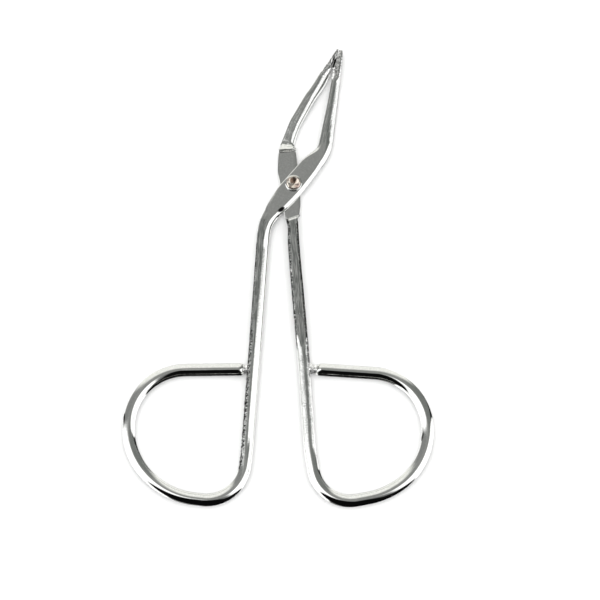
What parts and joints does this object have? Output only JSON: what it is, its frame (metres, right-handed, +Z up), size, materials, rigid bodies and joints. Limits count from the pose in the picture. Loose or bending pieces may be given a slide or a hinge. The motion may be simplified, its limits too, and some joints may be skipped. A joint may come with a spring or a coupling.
{
  "type": "scissor-handled tweezers",
  "caption": "Tweezers with scissor handles: two bent wire levers with finger loops cross on a rivet and meet in slim, slightly cranked jaws.",
  "frame": {"origin": "on the rivet's axis, at the flat underside of the rivet's tail", "axes": "+X across the handles towards the rear lever's loop, +Y from the finger loops towards the jaws, +Z up through the rivet towards its round head"},
  "size_m": [0.0624, 0.0956, 0.0034],
  "materials": {
    "plating": "bright plating over drawn and forged wire, with fine forging marks along the shanks",
    "weld": "plated weld bead, slightly rough",
    "rivet": "polished copper colour"
  },
  "bodies": {
    "rear_half": {"rear_lever": "plating", "rear_loop_weld": "weld", "pivot_rivet": "rivet", "rivet_washer": "plating"},
    "front_half": {"front_lever": "plating", "front_loop_weld": "weld"}
  },
  "joints": [
    {"name": "jaw_pivot", "type": "hinge", "parent": "rear_half", "child": "front_half", "pos_m": [0, 0, 0], "axis": [0, 0, -1], "range_deg": [0, 105]}
  ]
}
